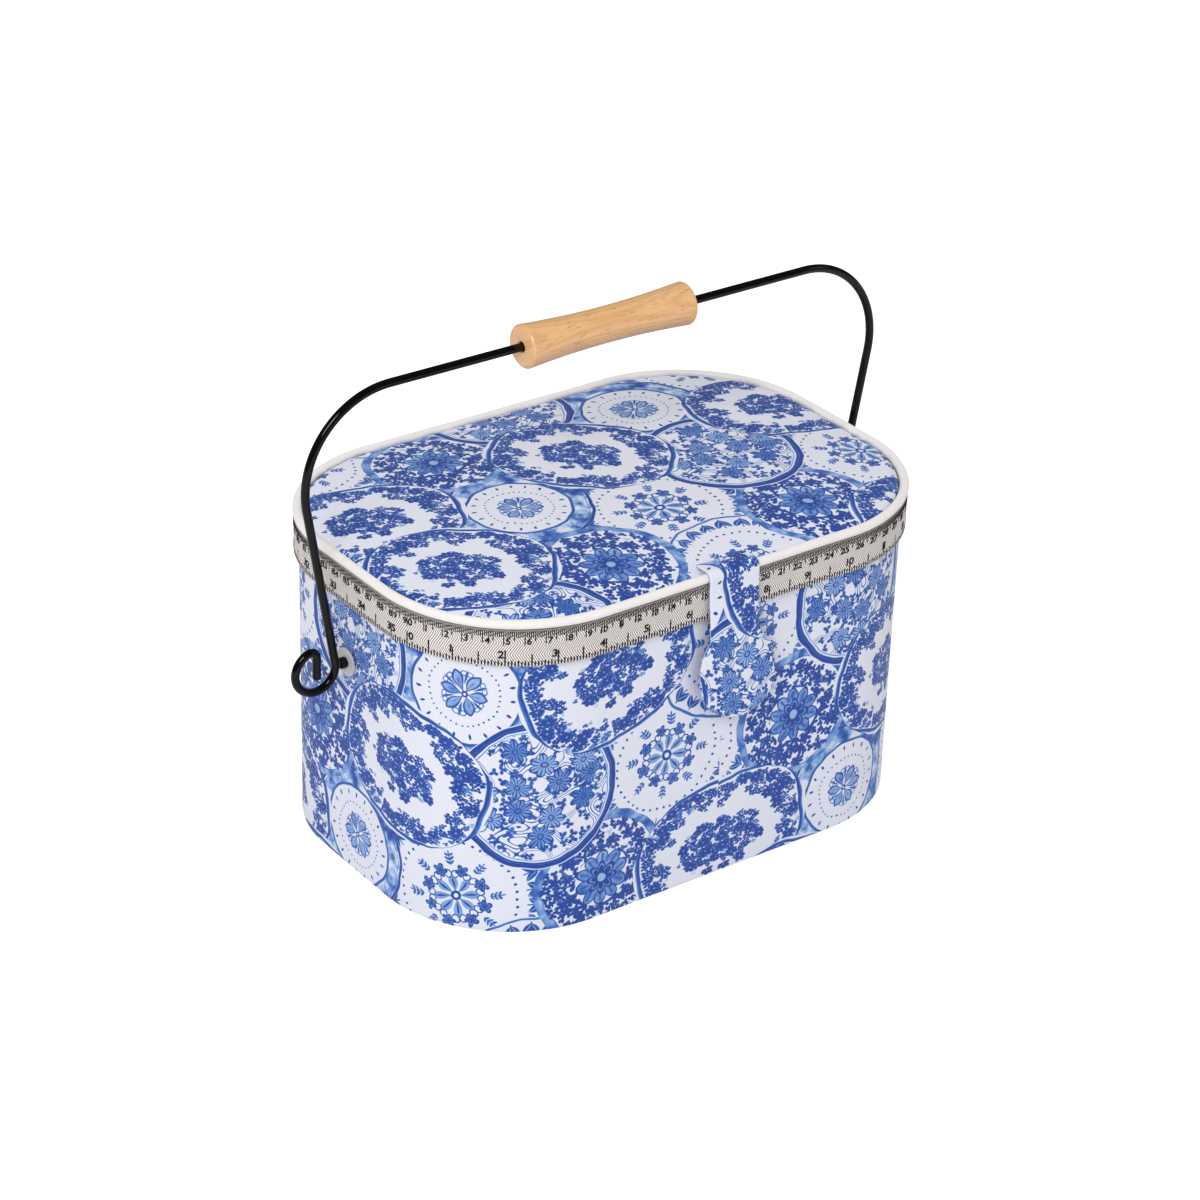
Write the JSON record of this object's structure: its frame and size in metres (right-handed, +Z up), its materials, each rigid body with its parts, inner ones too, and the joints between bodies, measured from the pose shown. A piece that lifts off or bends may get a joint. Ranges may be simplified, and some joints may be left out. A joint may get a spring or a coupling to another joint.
{
  "type": "sewing basket",
  "caption": "Oval cloth-covered sewing basket with a hinged padded lid, measuring-tape trim, magnetic tab, inner tray and a swinging wire bail with a turned wooden grip.",
  "frame": {"origin": "the middle of the underside, on the surface that the basket stands on", "axes": "+X right along the front, +Y to the hinge at the back, +Z up"},
  "size_m": [0.3652, 0.2164, 0.2739],
  "materials": {
    "printed_cloth": "woven cotton, printed in blues on bluish white",
    "lining_cloth": "plain woven cotton",
    "tape": "herringbone twill tape with printed scales",
    "piping_cloth": "cloth-covered cord",
    "cushion_cloth": "plain woven cotton, stuffed",
    "ribbon": "satin ribbon and covered elastic",
    "foam": "soft wadding under the cover",
    "board": "grey-brown card",
    "clear_plastic": "milky translucent plastic",
    "tray_plastic": "moulded, fine satin grain",
    "steel": "plated",
    "brass": "rolled eyelet",
    "black_wire": "gloss black coat",
    "wood": "turned light wood, satin lacquer"
  },
  "bodies": {
    "box": {"underside_cloth": "lining_cloth", "base_board": "board", "wall_board": "board", "outer_cover": "printed_cloth", "wall_lining": "lining_cloth", "tray_ledge": "lining_cloth", "floor_pad": "lining_cloth", "sewing_tray": "tray_plastic", "strike_plate": "steel", "hinge_cloth_lower": "lining_cloth", "stay_ribbon_left": "ribbon", "stay_ribbon_right": "ribbon", "wall_eyelet_left": "brass", "wall_eyelet_right": "brass", "pivot_washer_left": "clear_plastic", "pivot_washer_right": "clear_plastic", "pivot_nut_left": "steel", "pivot_nut_right": "steel"},
    "lid": {"hinge_cloth_upper": "lining_cloth", "lid_board": "board", "lid_rim": "board", "rim_tape": "tape", "lid_piping": "piping_cloth", "lid_pad": "foam", "lid_cover": "printed_cloth", "lid_lining": "lining_cloth", "pincushion": "cushion_cloth", "lid_pocket": "printed_cloth", "pocket_elastic": "ribbon", "tab_strap": "printed_cloth"},
    "tab": {"closure_tab": "printed_cloth", "tab_magnet": "steel"},
    "bail": {"bail_wire": "black_wire", "pivot_pin_left": "black_wire", "pivot_pin_right": "black_wire"},
    "grip": {"wood_grip": "wood"}
  },
  "joints": [
    {"name": "lid_hinge", "type": "hinge", "parent": "box", "child": "lid", "pos_m": [0, 0.1038, 0.1516], "axis": [-1, 0, 0], "range_deg": [0, 105], "deforming": ["stay_ribbon_left", "stay_ribbon_right"]},
    {"name": "tab_lift", "type": "hinge", "parent": "lid", "child": "tab", "pos_m": [0, -0.1075, 0.1684], "axis": [-1, 0, 0], "range_deg": [0, 120]},
    {"name": "bail_swing", "type": "hinge", "parent": "box", "child": "bail", "pos_m": [0, 0.004, 0.119], "axis": [-1, 0, 0], "range_deg": [0, 105]},
    {"name": "grip_spin", "type": "hinge", "parent": "bail", "child": "grip", "pos_m": [0, 0.004, 0.2627], "axis": [1, 0, 0], "continuous": true}
  ],
  "couplings": [
    {"joint": "bail_swing", "follows": "lid_hinge", "ratio": 1}
  ]
}
